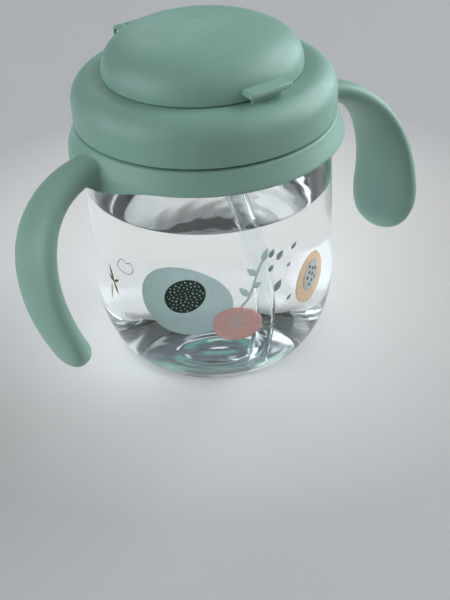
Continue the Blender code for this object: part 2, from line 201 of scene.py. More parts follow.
def tube(name, points, radius, sides=24, bore=None):
    """A tube along points in mm, with an open bore if one is given."""
    points = [Vector(p) for p in points]
    along = [(b - a).normalized() for a, b in zip(points, points[1:])]
    along = [along[0]] + [(a + b).normalized() for a, b in zip(along, along[1:])] + [along[-1]]
    side = along[0].orthogonal().normalized()
    sides_at = []
    for t in along:
        side = (side - t * side.dot(t)).normalized()
        sides_at.append((side.copy(), t.cross(side)))

    def rings(r, order):
        made = []
        for i in order:
            u, v = sides_at[i]
            made.append([tuple(points[i] + (u * math.cos(2 * math.pi * j / sides)
                                            + v * math.sin(2 * math.pi * j / sides)) * r)
                         for j in range(sides)])
        return made

    order = list(range(len(points)))
    if bore is None:
        return from_rows(name, rings(radius, order), caps=True)
    rows = rings(radius, order) + rings(bore, order[::-1])
    return from_rows(name, rows, closed_profile=True)


def rounded_block(name, low, high, bevel, segments=4):
    shape = bmesh.new()
    bmesh.ops.create_cube(shape, size=1.0)
    size = [(b - a) * MM for a, b in zip(low, high)]
    middle = [(a + b) * 0.5 * MM for a, b in zip(low, high)]
    bmesh.ops.scale(shape, vec=size, verts=shape.verts)
    bmesh.ops.translate(shape, vec=middle, verts=shape.verts)
    bmesh.ops.bevel(shape, geom=list(shape.edges), offset=bevel * MM, segments=segments, profile=0.5,
                    affect="EDGES", clamp_overlap=True)
    mesh = bpy.data.meshes.new(name)
    shape.to_mesh(mesh)
    shape.free()
    return link(name, mesh)


def rod(name, x0, x1, y, z, radius, sides=48, bevel=0.3):
    """A rod along X with rounded ends."""
    cut = bevel * 0.3
    profile = [(0.0, x1), (radius - bevel, x1), (radius - cut, x1 - cut), (radius, x1 - bevel)]
    profile += [(radius, x0 + bevel), (radius - cut, x0 + cut), (radius - bevel, x0), (0.0, x0)]
    piece = lathe(name, profile, sides, closed=False)
    piece.data.transform(Matrix.Rotation(math.radians(90), 4, "Y"))
    piece.data.transform(Matrix.Translation((0, y * MM, z * MM)))
    return piece


def disc(name, radius, low, high, centre, steps):
    """A flat round disc, or the cutter for a hole."""
    return lathe(name, [(0, high), (radius, high), (radius, low), (0, low)], steps, False, centre)


def applied(piece):
    """The piece with its modifiers made part of its mesh."""
    bpy.context.view_layer.update()
    graph = bpy.context.evaluated_depsgraph_get()
    mesh = bpy.data.meshes.new_from_object(piece.evaluated_get(graph))
    piece.modifiers.clear()
    piece.data = mesh
    return piece


def boolean(piece, other, operation="UNION"):
    step = piece.modifiers.new(operation.lower(), "BOOLEAN")
    step.operation = operation
    step.solver = "EXACT"
    step.object = other
    applied(piece)
    bpy.data.objects.remove(other)
    return piece


def smooth_by_angle(piece, degrees=35):
    piece.data.shade_smooth()
    piece.data.set_sharp_from_angle(angle=math.radians(degrees))
    return piece


def dress(piece, look, body, nodes=()):
    """Give a piece its material, its body, and what it stands for."""
    piece.data.materials.clear()
    piece.data.materials.append(look)
    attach(piece, body)
    if nodes:
        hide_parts(*nodes)
    return piece


# ---------------------------------------------------------------- materials
class Look:
    """A material with a Principled shader and a few procedural layers."""

    def __init__(self, name):
        self.material = bpy.data.materials.new(name)
        self.material.use_nodes = True
        self.tree = self.material.node_tree
        self.shader = self.tree.nodes["Principled BSDF"]
        self.place = self.node("ShaderNodeTexCoord").outputs["Object"]

    def node(self, kind, **values):
        made = self.tree.nodes.new(kind)
        for key, value in values.items():
            setattr(made, key, value)
        return made

    def set(self, **values):
        for key, value in values.items():
            self.shader.inputs[key.replace("_", " ")].default_value = value
        return self

    def noise(self, scale, detail=2.0, roughness=0.5, stretch=None):
        place = self.place
        if stretch:
            mapping = self.node("ShaderNodeMapping")
            mapping.inputs["Scale"].default_value = stretch
            self.tree.links.new(place, mapping.inputs["Vector"])
            place = mapping.outputs["Vector"]
        made = self.node("ShaderNodeTexNoise")
        made.inputs["Scale"].default_value = scale
        made.inputs["Detail"].default_value = detail
        made.inputs["Roughness"].default_value = roughness
        self.tree.links.new(place, made.inputs["Vector"])
        return made.outputs["Fac"]

    def ramp(self, source, low, high, start=0.35, end=0.65):
        """source as a colour or number between low and high."""
        made = self.node("ShaderNodeMapRange")
        made.inputs["From Min"].default_value = start
        made.inputs["From Max"].default_value = end
        self.tree.links.new(source, made.inputs["Value"])
        if isinstance(low, (int, float)):
            made.inputs["To Min"].default_value = low
            made.inputs["To Max"].default_value = high
            return made.outputs["Result"]
        mix = self.node("ShaderNodeMix", data_type="RGBA")
        mix.inputs["A"].default_value = (*low, 1.0)
        mix.inputs["B"].default_value = (*high, 1.0)
        self.tree.links.new(made.outputs["Result"], mix.inputs["Factor"])
        return mix.outputs["Result"]

    def feed(self, source, socket):
        self.tree.links.new(source, self.shader.inputs[socket])
        return self

    def bump(self, *layers):
        """Each layer is (source, depth in mm)."""
        normal = None
        for source, depth in layers:
            made = self.node("ShaderNodeBump")
            made.inputs["Strength"].default_value = 1.0
            made.inputs["Distance"].default_value = depth * MM
            self.tree.links.new(source, made.inputs["Height"])
            if normal:
                self.tree.links.new(normal, made.inputs["Normal"])
            normal = made.outputs["Normal"]
        self.tree.links.new(normal, self.shader.inputs["Normal"])
        return self


def moulded(name, color, roughness, grain=0.004):
    """Satin moulded plastic: slight shifts of colour, a fine texture, uneven gloss."""
    look = Look(name)
    deep = tuple(c * 0.93 for c in color)
    pale = tuple(min(c * 1.06, 1.0) for c in color)
    look.feed(look.ramp(look.noise(38.0, 3.0), deep, pale), "Base Color")
    look.feed(look.ramp(look.noise(260.0, 3.0), roughness - 0.04, roughness + 0.05), "Roughness")
    look.bump((look.noise(4200.0, 2.0), grain), (look.noise(70.0, 1.0), 0.02))
    look.set(IOR=1.46)
    return look.material


def clear_plastic():
    look = Look("clear_body")
    look.set(Transmission_Weight=1.0, IOR=1.54, Base_Color=(0.995, 1.0, 0.998, 1.0))
    look.feed(look.ramp(look.noise(90.0, 2.0), 0.0, 0.015), "Roughness")
    look.bump((look.noise(45.0, 1.0), 0.012))
    return look.material


def soft_silicone(name, color, transmission, roughness, ior=1.41):
    look = Look(name)
    look.set(Transmission_Weight=transmission, IOR=ior)
    look.feed(look.ramp(look.noise(120.0, 2.0), tuple(c * 0.96 for c in color), color), "Base Color")
    look.feed(look.ramp(look.noise(300.0, 2.0), roughness - 0.05, roughness + 0.05), "Roughness")
    look.bump((look.noise(900.0, 2.0), 0.006))
    return look.material


def ink(name, color, see_through=0.5):
    """Printed ink: nearly flat colour with a faint mottle, thin enough to let some light through."""
    look = Look(name)
    look.feed(look.ramp(look.noise(700.0, 4.0, 0.6), tuple(c * 0.93 for c in color), color), "Base Color")
    look.feed(look.ramp(look.noise(400.0, 2.0), 0.38, 0.48), "Roughness")
    look.bump((look.noise(2500.0, 2.0), 0.002))
    look.set(Transmission_Weight=see_through, IOR=1.03)
    return look.material


def steel():
    look = Look("steel")
    look.set(Metallic=1.0)
    brushed = look.noise(900.0, 3.0, 0.6, stretch=(0.08, 1.0, 1.0))
    look.feed(look.ramp(brushed, (0.48, 0.48, 0.47), (0.66, 0.66, 0.65)), "Base Color")
    look.feed(look.ramp(brushed, 0.2, 0.34), "Roughness")
    look.bump((brushed, 0.002))
    return look.material


CLEAR = clear_plastic()
SAGE_RING = moulded("sage_ring", (0.235, 0.395, 0.32), 0.45)
SAGE_LID = moulded("sage_lid", (0.215, 0.365, 0.295), 0.42)
CLEAR_SILICONE = soft_silicone("clear_silicone", (0.93, 0.96, 0.97), 0.95, 0.1, 1.41)
WET_SILICONE = soft_silicone("wet_silicone", (0.96, 0.98, 0.98), 1.0, 0.06, 1.058)
WHITE_SILICONE = soft_silicone("white_silicone", (0.78, 0.80, 0.79), 0.0, 0.5)
RETAINER = moulded("retainer", (0.74, 0.76, 0.75), 0.35)
STEEL = steel()


# ---------------------------------------------------------------- cup
THREAD_FADE = 6.0            # degrees over which a ridge fades in and out
FLOOR_EDGE = 23.0            # radius at which the inner floor turns up
FLOOR_DOME = 20.0            # radius of the dome in its middle
FLOOR_RISE = 1.5
FLOOR_RINGS = (0.12, 1.1)    # faint moulded rings: their height, and radians a mm
RECESS_RADIUS = 16.4         # the domed recess under the base
RECESS_EDGE = 0.5
RECESS_RISE = 1.3
MOULD_RING = (8.5, 0.15, 1.2)    # a shallow groove in it: radius, depth and width
RIM_ROUND = 0.5


def wall_radius(z):
    """Outer radius of the clear cup at a height."""
    if z >= TAPER_END:
        return TOP_RADIUS
    if z >= BULGE_HEIGHT:
        risen = (z - BULGE_HEIGHT) / (TAPER_END - BULGE_HEIGHT)
        return BULGE_RADIUS + (TOP_RADIUS - BULGE_RADIUS) * risen
    part = 1.0 - z / BULGE_HEIGHT
    return FOOT_RADIUS + (BULGE_RADIUS - FOOT_RADIUS) * math.sqrt(max(1.0 - part * part, 0.0))


def thread(angle, radius, z):
    """Three raised ridges on the neck, which fade in and out at their ends."""
    if abs(radius - NECK) > 0.05 or not SHOULDER + 3 < z < RIM - 0.5:
        return radius, z
    grown = 0.0
    for k in range(THREAD_STARTS):
        run = (math.degrees(angle) - k * 360.0 / THREAD_STARTS) % 360.0
        if run > THREAD_ARC:
            continue
        centre = THREAD_FOOT + THREAD_LEAD * run / 360.0
        fade = min(1.0, run / THREAD_FADE, (THREAD_ARC - run) / THREAD_FADE)
        away = abs(z - centre) / THREAD_SIZE
        if away < 1.0:
            grown = max(grown, THREAD_SIZE * fade * math.sqrt(1.0 - away * away))
    return radius + grown, z


def floor_height(r):
    """Height of the cup's inner floor, which rises a little to its middle."""
    dome = max(1.0 - (r / FLOOR_DOME) ** 2, 0.0) ** 2
    ring, pace = FLOOR_RINGS
    return FLOOR + FLOOR_RISE * dome + ring * dome ** 0.25 * math.sin(r * pace)


def floor_line(lift=0.0):
    """The inner floor's profile from its middle to its edge, moved up or down by lift."""
    return [(r, floor_height(r) + lift) for r in np.linspace(0.0, FLOOR_EDGE, 40)]


def recess_line(count=60):
    """The profile of the recess under the base, from its edge to its middle."""
    ring, depth, width = MOULD_RING
    made = []
    for i in range(count):
        r = RECESS_RADIUS * (1.0 - i / (count - 1))
        groove = depth * math.exp(-((r - ring) / width) ** 2)
        made.append((r, RECESS_EDGE + RECESS_RISE * (1.0 - (r / RECESS_RADIUS) ** 2) + groove))
    return made


def cup_profile():
    """The clear cup's section: down its outside, across the base, and up its inside."""
    bulge = (FOOT_RADIUS, BULGE_HEIGHT)
    outer = (BULGE_RADIUS - FOOT_RADIUS, BULGE_HEIGHT)
    inner = (outer[0] - WALL, BULGE_HEIGHT - FLOOR)
    cut = RIM_ROUND * 0.3
    made = [(NECK - RIM_ROUND, RIM), (NECK - cut, RIM - cut)]
    made += line((NECK, RIM - RIM_ROUND), (NECK, SHOULDER + 1.0), 64)
    made += arc((NECK + 1.0, SHOULDER + 1.0), (1.0, 1.0), 180, 270, 6)[1:]
    made += arc((TOP_RADIUS - 1.2, SHOULDER - 1.2), (1.2, 1.2), 90, 0, 8)
    made += line((TOP_RADIUS, SHOULDER - 1.4), (TOP_RADIUS, TAPER_END), 4)[1:]
    made += arc(bulge, outer, 0, -90, 40)
    made += [(17.4, 0.0), (17.0, 0.08), (16.7, 0.3)]
    made += recess_line() + floor_line()
    made += arc(bulge, inner, -90, 0, 40)
    side = TOP_RADIUS - WALL
    made += line((side, TAPER_END), (side, 72.6), 4)
    under_shoulder = [(side, 72.8), (side, 73.5), (NECK_BORE, 78.2), (NECK_BORE, 79.5)]
    made += softened(under_shoulder, 2.2, 8, False)
    made += line((NECK_BORE, 80.0), (NECK_BORE, RIM - RIM_ROUND), 4)
    made += [(NECK_BORE + cut, RIM - cut), (NECK_BORE + RIM_ROUND, RIM)]
    return made


def cup():
    """The clear body. It casts no shadow, which would be black without caustics."""
    body = lathe("cup_shell", cup_profile(), closed=True, swell=thread)
    smooth_by_angle(body, 50)
    body.visible_shadow = False
    return dress(body, CLEAR, "cup", ["cup_body"])


# ---------------------------------------------------------------- handle ring
HANDLE_PATH = ((40.4, 76.2), (69.3, 74.1), (69.5, 44.2), (60.3, 25.5))    # Bezier, radius and height
HANDLE_SWEEP = 13.7          # degrees that the handle swings round Z on its way down
HANDLE_TWIST = (11.6, 10.5)  # degrees, at the ring and at the tip
HANDLE_THICKNESS = (3.2, 4.8)    # half thickness, at the ring and at the tip
HANDLE_WIDTHS = (7.5, 8.3, 11.5, 13.9, 16.1)    # half widths, evenly spaced from ring to tip
HANDLE_SQUARENESS = 0.9      # 1 makes an oval section, and less a squarer one
HANDLE_STEPS = 400           # straight pieces that its path is measured in
RING_TOP = 81.5
RING_FOOT = 74.8
RING_TOP_RADIUS = 39.3
RING_FOOT_RADIUS = 41.8
RING_DIP = 4.0               # how far the foot drops, and the side flares, by each handle
RING_FLARE = 1.1
RING_DIP_SPREAD = 38.0       # degrees to each side that the dip takes
RING_BORE = 35.9
SKIRT_BORE = 38.6
RING_LEDGE = SHOULDER + 0.3
REMESH = 0.43                # voxel size that joins ring and handles


def beside_handle(angle):
    """1 under a handle, and 0 where the ring is plain."""
    around = abs(math.degrees(angle)) % 180.0
    away = min(around, 180.0 - around)
    if away >= RING_DIP_SPREAD:
        return 0.0
    return math.cos(math.radians(90.0 * away / RING_DIP_SPREAD)) ** 2


def ring_swell(angle, r, z):
    share = beside_handle(angle)
    drop = min(max((RING_TOP - z) / (RING_TOP - RING_FOOT), 0.0), 1.0)
    if r > RING_TOP_RADIUS:
        r += RING_FLARE * share * drop
    if z < RING_FOOT + 1.0:
        z -= RING_DIP * share
    return r, z


def ring_band():
    profile = [(RING_TOP_RADIUS, RING_TOP), (39.9, 79.4), (40.9, 77.0), (RING_FOOT_RADIUS, RING_FOOT)]
    profile += [(SKIRT_BORE, RING_FOOT), (SKIRT_BORE, RING_LEDGE)]
    profile += [(RING_BORE, RING_LEDGE), (RING_BORE, RING_TOP)]
    return lathe("handle_ring_shell", softened(profile, 0.5, 5), swell=ring_swell)


def bezier(points, t):
    a, b, c, d = points
    u = 1.0 - t
    return tuple(u ** 3 * a[i] + 3 * u * u * t * b[i] + 3 * u * t * t * c[i] + t ** 3 * d[i]
                 for i in (0, 1))


def rounded_off(distance, size):
    """A share that falls to 0 at the tip along a quarter circle of that size."""
    part = min(max(distance / size, 0.0), 1.0)
    return math.sqrt(max(1.0 - (1.0 - part) ** 2, 0.0))


def size_along(sizes, s):
    """A smooth curve through evenly spaced sizes, at a share s of the band's length."""
    last = len(sizes) - 1
    i = min(int(s * last), last - 1)
    t = s * last - i
    a, b, c, d = sizes[max(i - 1, 0)], sizes[i], sizes[i + 1], sizes[min(i + 2, last)]
    return b + 0.5 * t * (c - a + t * (2 * a - 5 * b + 4 * c - d + t * (3 * b - a - 3 * c + d)))


def handle(name, mirror, count=90, sides=64):
    """A band swept down from the ring: it widens, twists a little, and ends in a round tip."""
    flat = [bezier(HANDLE_PATH, i / HANDLE_STEPS) for i in range(HANDLE_STEPS + 1)]
    run = [0.0]
    for a, b in zip(flat, flat[1:]):
        run.append(run[-1] + math.dist(a, b))
    length = run[-1]

    def centre(s):
        wanted = s * length
        i = min(int(np.searchsorted(run, wanted, side="right")) - 1, HANDLE_STEPS - 1)
        t = (wanted - run[i]) / (run[i + 1] - run[i])
        r = flat[i][0] + (flat[i + 1][0] - flat[i][0]) * t
        z = flat[i][1] + (flat[i + 1][1] - flat[i][1]) * t
        turn = math.radians(180.0 + HANDLE_SWEEP * s)
        return Vector((r * math.cos(turn), r * math.sin(turn), z))

    rows = []
    for k in range(count):
        # Rows lie closer together towards the round tip, and stop just short of its point.
        s = min(1.0 - (1.0 - k / (count - 1)) ** 1.5, 0.99995)
        here = centre(s)
        along = (centre(min(s + 0.01, 1.0)) - centre(max(s - 0.01, 0.0))).normalized()
        turn = math.radians(180.0 + HANDLE_SWEEP * s)
        across = Vector((-math.sin(turn), math.cos(turn), 0.0))
        across = (across - along * across.dot(along)).normalized()
        out = across.cross(along)
        lean = math.radians(-(HANDLE_TWIST[0] + (HANDLE_TWIST[1] - HANDLE_TWIST[0]) * s))
        across, out = (across * math.cos(lean) + out * math.sin(lean),
                       out * math.cos(lean) - across * math.sin(lean))
        left = (1.0 - s) * length
        width = size_along(HANDLE_WIDTHS, s) * rounded_off(left, HANDLE_WIDTHS[-1])
        thick = HANDLE_THICKNESS[0] + (HANDLE_THICKNESS[1] - HANDLE_THICKNESS[0]) * s
        thick *= rounded_off(left, HANDLE_THICKNESS[1])
        row = []
        for j in range(sides):
            angle = 2 * math.pi * j / sides
            cx = math.copysign(abs(math.cos(angle)) ** HANDLE_SQUARENESS, math.cos(angle))
            cy = math.copysign(abs(math.sin(angle)) ** HANDLE_SQUARENESS, math.sin(angle))
            spot = here + across * (width * cx) + out * (thick * cy)
            row.append((-spot.x if mirror else spot.x, spot.y, spot.z))
        rows.append(row)
    return from_rows(name, rows, caps=True)


def handle_ring():
    """Ring and handles as one moulding: joined, remeshed finely, and smoothed where they meet."""
    ring = ring_band()
    boolean(ring, handle("handle_left", False))
    boolean(ring, handle("handle_right", True))
    remesh = ring.modifiers.new("remesh", "REMESH")
    remesh.mode = "VOXEL"
    remesh.voxel_size = REMESH * MM
    smooth = ring.modifiers.new("smooth", "SMOOTH")
    smooth.factor = 0.5
    smooth.iterations = 2
    applied(ring)
    ring.data.shade_smooth()
    return dress(ring, SAGE_RING, "handles", ["handle_ring"])


# ---------------------------------------------------------------- lid
LID_TOP = 95.3
LID_CEILING = 92.8
LID_BORE = 36.2
# The lid's foot, from outside to inside: a thin lip closes the open seam over the ring.
LID_RIM = ((39.3, 88.0), (39.3, 82.3), (37.6, 82.3), (37.6, 81.6), (LID_BORE, 81.6), (LID_BORE, 84.0))
SEAT = (30.0, 31.6, 90.6)    # the ridge inside the gasket: its two radii, and its foot
BOSS = ((14.2, 93.8), (14.2, 87.8), (12.3, 87.8), (12.3, 93.8))
EARS = (6.2, 9.6)            # from the middle to each side of an ear
LUG_RADIUS = 36.1
LUG_START = 4.0              # degrees past a ridge's start
LUG_ARC = 18.0               # degrees that a lug runs
LUG_DROP = 2.25              # a lug's middle lies this far under its ridge's


def lug(k, count=12):
    """One of the lid's thread lugs, which runs up with the thread."""
    points = []
    for i in range(count):
        run = LUG_START + LUG_ARC * i / (count - 1)
        angle = math.radians(run + k * 360.0 / THREAD_STARTS)
        z = THREAD_FOOT - LUG_DROP + THREAD_LEAD * run / 360.0
        points.append((LUG_RADIUS * math.cos(angle), LUG_RADIUS * math.sin(angle), z))
    return tube("lug", points, THREAD_SIZE, 24)


def lid():
    profile = [(0.0, LID_TOP), (30.5, LID_TOP)]
    profile += arc((32.0, 88.3), (7.3, 6.95), 84, 4, 16)
    profile += softened(LID_RIM, 0.3, 5, False)[1:-1]
    inner, outer, foot = SEAT
    profile += [(LID_BORE, LID_CEILING), (outer, LID_CEILING), (outer, foot)]
    profile += [(inner, foot), (inner, LID_CEILING), (0.0, LID_CEILING)]
    cap = lathe("lid_shell", profile, closed=False)
    boolean(cap, lathe("boss", BOSS, 96, centre=(0, PORT_Y)))
    for side in (-1, 1):
        x0, x1 = sorted(side * x for x in EARS)
        low = (x0, HINGE_Y - EYE_RADIUS, 93.0)
        boolean(cap, rounded_block("ear", low, (x1, HINGE_Y + EYE_RADIUS, HINGE_Z), 0.35))
        boolean(cap, rod("ear_eye", x0, x1, HINGE_Y, HINGE_Z, EYE_RADIUS))
    boolean(cap, rounded_block("catch", (-5.0, -31.0, 94.4), (5.0, -30.0, 97.1), 0.3))
    for k in range(THREAD_STARTS):
        boolean(cap, lug(k))
    boolean(cap, disc("port", 4.5, 90, 99, (0, PORT_Y), 64), "DIFFERENCE")
    boolean(cap, disc("vent", 1.6, 90, 99, VENT, 32), "DIFFERENCE")
    boolean(cap, rod("pin_hole", -12, 12, HINGE_Y, HINGE_Z, PIN_HOLE), "DIFFERENCE")
    smooth_by_angle(cap, 32)
    return dress(cap, SAGE_LID, "lid", ["lid_cap"])


COVER_RADIUS = 29.5
COVER_FOOT = 95.7
COVER_TOP = 108.3
COVER_WALL = 1.8
COVER_POWER = 2.6            # 2 makes a round dome, and more a flatter top
ARM = 5.9                    # half the width of its hinge arm


def dome(radius, top, count):
    """A squarish quarter arch from the cover's foot to its top."""
    made = []
    for i in range(count):
        angle = math.radians(90.0 * i / (count - 1))
        made.append((radius * max(math.cos(angle), 0.0) ** (2 / COVER_POWER),
                     COVER_FOOT + (top - COVER_FOOT) * math.sin(angle) ** (2 / COVER_POWER)))
    made[-1] = (0.0, top)
    return made


def cover():
    outer = dome(COVER_RADIUS, COVER_TOP, 48)
    inner = dome(COVER_RADIUS - COVER_WALL, COVER_TOP - COVER_WALL, 40)
    piece = lathe("flip_cover_shell", outer[::-1] + inner, closed=False)
    boolean(piece, rounded_block("arm", (-ARM, 28.4, 96.3), (ARM, HINGE_Y, 99.9), 0.4))
    boolean(piece, rod("eye", -ARM, ARM, HINGE_Y, HINGE_Z, EYE_RADIUS))
    boolean(piece, rounded_block("tab", (-7.0, -33.6, 97.5), (7.0, -28.4, 99.4), 0.8))
    boolean(piece, rod("pin_hole", -12, 12, HINGE_Y, HINGE_Z, PIN_HOLE), "DIFFERENCE")
    smooth_by_angle(piece, 32)
    return dress(piece, SAGE_LID, "cover", ["flip_cover"])


def gasket():
    profile = softened([(35.7, 92.5), (35.7, 90.5), (31.9, 90.5), (31.9, 92.5)], 0.6, 5)
    dress(lathe("gasket", profile), WHITE_SILICONE, "lid", ["lid_gasket"])


def hinge_pin():
    pin = rod("hinge_axle", -9.4, 9.4, HINGE_Y, HINGE_Z, 1.1)
    dress(smooth_by_angle(pin), STEEL, "lid", ["hinge_pin"])


def vent_valve():
    """A soft plug with a round head over the lid and a flange under it."""
    profile = [(0.0, 96.95), (1.1, 96.75), (1.8, 96.3), (2.1, 95.85), (2.0, 95.6), (1.3, 95.6)]
    profile += [(1.3, 92.5), (3.3, 92.5), (3.6, 92.25), (3.3, 91.9), (2.2, 91.5), (0.0, 91.4)]
    piece = lathe("vent_valve_soft", profile, 64, False, VENT)
    dress(smooth_by_angle(piece), WHITE_SILICONE, "lid", ["vent_valve"])


def retainer():
    """The stepped ring that holds the mouthpiece up under the lid, with two wings to turn it by."""
    profile = [(12.0, 90.2), (12.0, 87.4), (14.0, 87.4), (14.0, 85.6), (5.4, 85.6), (5.4, 90.2)]
    piece = lathe("mouthpiece_holder", softened(profile, 0.35), 128, centre=(0, PORT_Y))
    for side in (-1, 1):
        a, b = sorted((side * 8.2, side * 10.0))
        boolean(piece, rounded_block("wing", (a, PORT_Y - 4, 82.6), (b, PORT_Y + 4, 86.2), 0.5))
    dress(smooth_by_angle(piece), RETAINER, "lid", ["mouthpiece_retainer"])


# ---------------------------------------------------------------- silicone mouthpiece and straw
STRAW_ROUTE = (
    (0.0, 4.0, 89.7), (0.0, 4.0, 85.5), (0.0, 4.0, 81.5), (-1.3, -1.2, 76.0), (-3.5, -11.5, 70.6),
    (-5.8, -21.8, 65.6), (-7.6, -29.3, 59.6), (-7.2, -31.6, 52.5), (-5.4, -31.9, 44.0),
    (-4.2, -31.4, 34.0), (-3.4, -29.2, 24.0), (-2.8, -25.4, 14.0), (-2.4, -22.0, 6.4),
)


# The upright stretch as (height, radius): socket, flange, and the neck through the port.
MOUTH_UPRIGHT = (
    (82.5, 4.6), (83.0, 5.1), (90.4, 5.1), (90.5, 7.7), (90.8, 8.0),
    (92.2, 8.0), (92.5, 7.7), (92.55, 4.6), (93.2, 4.25), (95.4, 4.15),
)
# The folded stretch as (distance to the front, radius), with a bead round its lip.
MOUTH_FOLDED = (
    (4.7, 4.0), (8.7, 4.0), (17.5, 3.5), (20.9, 3.45), (21.7, 3.8), (22.7, 3.8), (23.3, 3.4), (23.5, 2.7),
)
MOUTH_BEND = 3.6             # radius of the fold's curve
SOCKET_TOP = 90.0            # under it the straw's end fits the bore
SOCKET_BORE = 3.3
MOUTH_BORE = 2.2


def mouthpiece_path():
    """(y, z, radius) up the socket, round the fold and along to the lip."""
    path = [(PORT_Y, z, radius) for z, radius in MOUTH_UPRIGHT]
    for i in range(13):
        angle = math.radians(90.0 * i / 12)
        y = PORT_Y - MOUTH_BEND + MOUTH_BEND * math.cos(angle)
        z = FOLD_Z - MOUTH_BEND + MOUTH_BEND * math.sin(angle)
        path.append((y, z, 4.1 - 0.25 * math.sin(2 * angle)))
    return path + [(PORT_Y - along, FOLD_Z, radius) for along, radius in MOUTH_FOLDED]


def mouthpiece():
    """One silicone moulding: flange and socket in the lid, then a tube that folds to the front."""
    path = mouthpiece_path()
    spots = [Vector((0.0, y, z)) for y, z, _ in path]
    radii = [radius for _, _, radius in path]
    bores = [SOCKET_BORE if z < SOCKET_TOP else MOUTH_BORE for _, z, _ in path]
    sides = 48

    def ring(i, r):
        before = spots[max(i - 1, 0)]
        after = spots[min(i + 1, len(spots) - 1)]
        t = (after - before).normalized()
        u = Vector((1.0, 0.0, 0.0))
        v = t.cross(u).normalized()
        return [tuple(spots[i] + (u * math.cos(2 * math.pi * j / sides)
                                  + v * math.sin(2 * math.pi * j / sides)) * r) for j in range(sides)]

    rows = [ring(i, radius) for i, radius in enumerate(radii)]
    rows += [ring(i, bores[i]) for i in reversed(range(len(spots)))]
    piece = from_rows("mouthpiece_soft", rows, closed_profile=True)
    smooth_by_angle(piece, 40)
    piece.data.materials.clear()
    piece.data.materials.append(CLEAR_SILICONE)
    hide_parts("mouthpiece", "mouthpiece_tip")
    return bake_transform(piece)


def straw():
    """The straw, whose wet part bends light less because it stands in the drink."""
    piece = tube("straw_soft", catmull(STRAW_ROUTE, 8), 3.0, 40, bore=2.1)
    dress(piece, CLEAR_SILICONE, "lid", ["straw_tube"])
    piece.data.materials.append(WET_SILICONE)
    for face in piece.data.polygons:
        if face.center.z < WATER_LEVEL * MM:
            face.material_index = 1
    return piece


# ---------------------------------------------------------------- print
INKS = {
    "pale_teal": ink("ink_pale_teal", (0.68, 0.83, 0.815), 0.35),
    "dark_green": ink("ink_dark_green", (0.045, 0.075, 0.06), 0.1),
    "white": ink("ink_white", (0.82, 0.84, 0.83)),
    "pink": ink("ink_pink", (0.85, 0.53, 0.49), 0.2),
    "apricot": ink("ink_apricot", (0.92, 0.72, 0.52), 0.35),
    "teal": ink("ink_teal", (0.30, 0.43, 0.40)),
    "olive": ink("ink_olive", (0.25, 0.24, 0.10)),
    "grey": ink("ink_grey", (0.50, 0.53, 0.53)),
}
PRINT_STEP = 1.0             # widest strip of a print patch, so that it follows the wall
INK_DEPTH = 0.03
INK_GAP = 0.02               # between the wall and the first layer
LAYER_GAP = 0.01             # between one layer and the next
PER_DEGREE = BULGE_RADIUS * math.pi / 180.0
GOLDEN_TURN = 2.39996        # radians between neighbours in a sunflower pattern


def patch(name, outlines, color, layer=0):
    """Flat outlines of (degrees about Z, height) laid on the wall as thin ink."""
    shape = bmesh.new()
    for outline in outlines:
        ring = [shape.verts.new((a * PER_DEGREE, z, 0.0)) for a, z in outline]
        shape.faces.new(ring)
    bmesh.ops.triangulate(shape, faces=shape.faces)
    for axis, spread in ((0, PRINT_STEP), (1, PRINT_STEP * 2)):
        values = [v.co[axis] for v in shape.verts]
        count = int((max(values) - min(values)) / spread)
        for i in range(1, count + 1):
            spot = [0.0, 0.0, 0.0]
            spot[axis] = min(values) + i * spread
            normal = [0.0, 0.0, 0.0]
            normal[axis] = 1.0
            geometry = list(shape.verts) + list(shape.edges) + list(shape.faces)
            bmesh.ops.bisect_plane(shape, geom=geometry, plane_co=spot, plane_no=normal)
    lift = INK_GAP + layer * (INK_DEPTH + LAYER_GAP)
    for vert in shape.verts:
        turn = math.radians(vert.co.x / PER_DEGREE)
        z = vert.co.y
        radius = wall_radius(z) + lift
        vert.co = Vector((radius * math.cos(turn), radius * math.sin(turn), z)) * MM
    for face in shape.faces:
        middle = face.calc_center_median()
        if face.normal.dot(Vector((middle.x, middle.y, 0.0))) < 0:
            face.normal_flip()
    mesh = bpy.data.meshes.new(f"print_{name}_front")
    shape.normal_update()
    shape.to_mesh(mesh)
    shape.free()
    mesh.shade_smooth()
    piece = link(mesh.name, mesh)
    thick = piece.modifiers.new("ink", "SOLIDIFY")
    thick.thickness = INK_DEPTH * MM
    thick.offset = 1.0
    piece.data.materials.append(INKS[color])
    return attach(piece, "cup")


def leaned(x, y, degrees):
    lean = math.radians(degrees)
    return x * math.cos(lean) - y * math.sin(lean), x * math.sin(lean) + y * math.cos(lean)


def oval(centre, size, tilt=0.0, count=40, wobble=0.0):
    """An oval outline; centre in (degrees, mm), size and tilt in mm and degrees on the wall."""
    made = []
    for i in range(count):
        angle = 2 * math.pi * i / count
        grow = 1.0 + wobble * math.cos(3 * angle)
        u, v = leaned(size[0] * math.cos(angle) * grow, size[1] * math.sin(angle) * grow, tilt)
        made.append((centre[0] + u / PER_DEGREE, centre[1] + v))
    return made


def leaf(base, tip, width):
    """A pointed leaf between two spots in (degrees, mm)."""
    a = Vector((base[0] * PER_DEGREE, base[1]))
    b = Vector((tip[0] * PER_DEGREE, tip[1]))
    side = (b - a).orthogonal().normalized() * width
    made = []
    for sign in (1, -1):
        order = range(12) if sign == 1 else range(12, 0, -1)
        for i in order:
            t = i / 12
            spot = a + (b - a) * t + side * sign * math.sin(math.pi * t ** 0.8) * 0.5
            made.append((spot.x / PER_DEGREE, spot.y))
    return made


